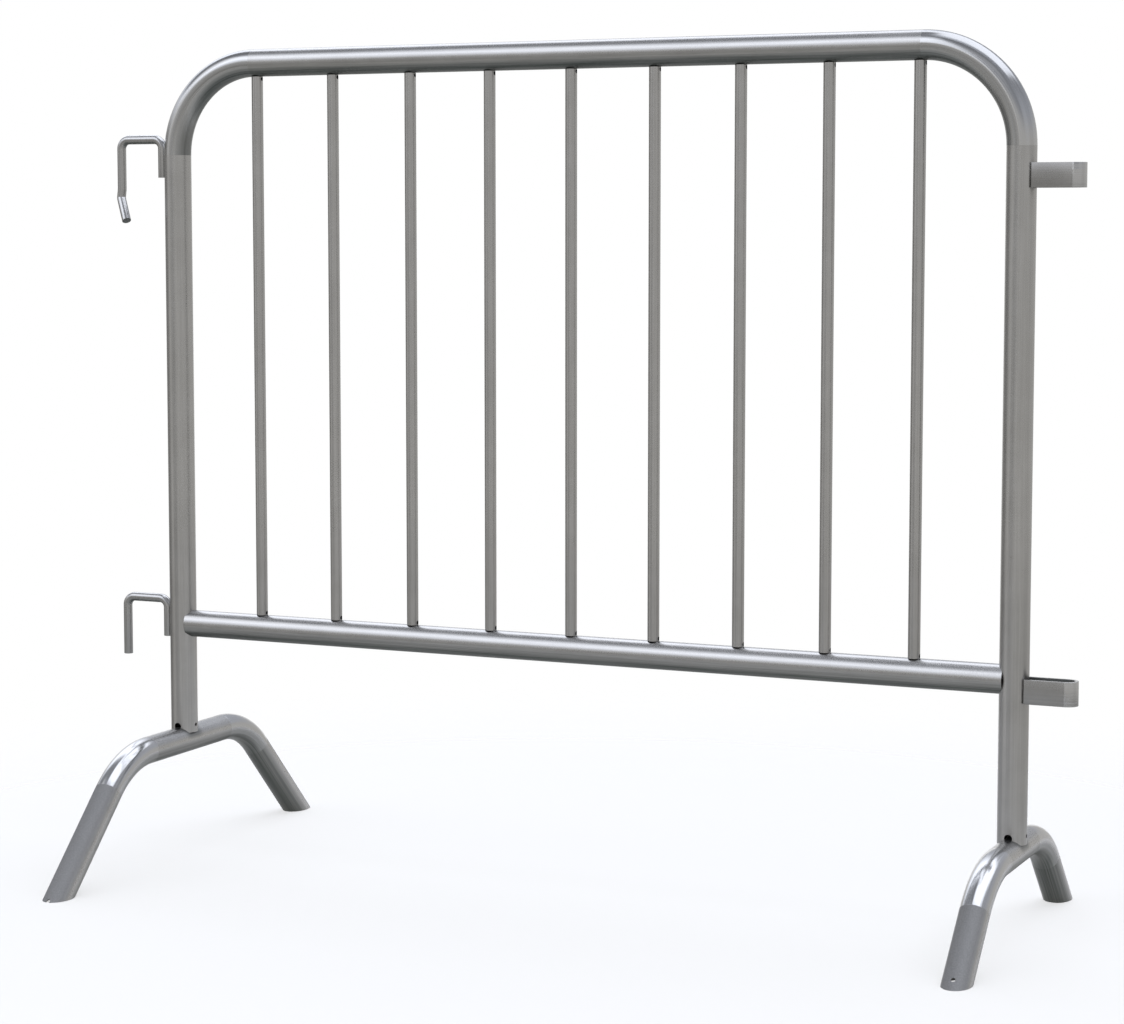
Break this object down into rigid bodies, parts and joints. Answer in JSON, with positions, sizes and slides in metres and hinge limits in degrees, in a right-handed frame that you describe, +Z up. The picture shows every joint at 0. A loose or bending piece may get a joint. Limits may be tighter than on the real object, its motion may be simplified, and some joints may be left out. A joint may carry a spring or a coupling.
{
  "type": "pedestrian barrier panel",
  "caption": "Welded steel tube crowd barrier panel with a rounded hoop frame, vertical bars, bridge feet, side hooks and strap loops for linking panels.",
  "frame": {"origin": "on the ground, at the middle of the overall box", "axes": "+X along the panel towards the strap loops, +Y towards the back, +Z up"},
  "size_m": [1.4087, 0.6944, 1.1486],
  "materials": {
    "steel": "satin",
    "weld": "rough"
  },
  "bodies": {
    "root": {"frame_hoop": "steel", "bottom_rail": "steel", "picket_1": "steel", "picket_2": "steel", "picket_3": "steel", "picket_4": "steel", "picket_5": "steel", "picket_6": "steel", "picket_7": "steel", "picket_8": "steel", "picket_9": "steel", "left_foot": "steel", "right_foot": "steel", "upper_hook": "steel", "lower_hook": "steel", "upper_loop": "steel", "lower_loop": "steel", "picket_top_welds": "weld", "picket_bottom_welds": "weld", "rail_welds": "weld", "foot_welds": "weld", "hook_welds": "weld", "loop_welds": "weld"}
  },
  "joints": []
}
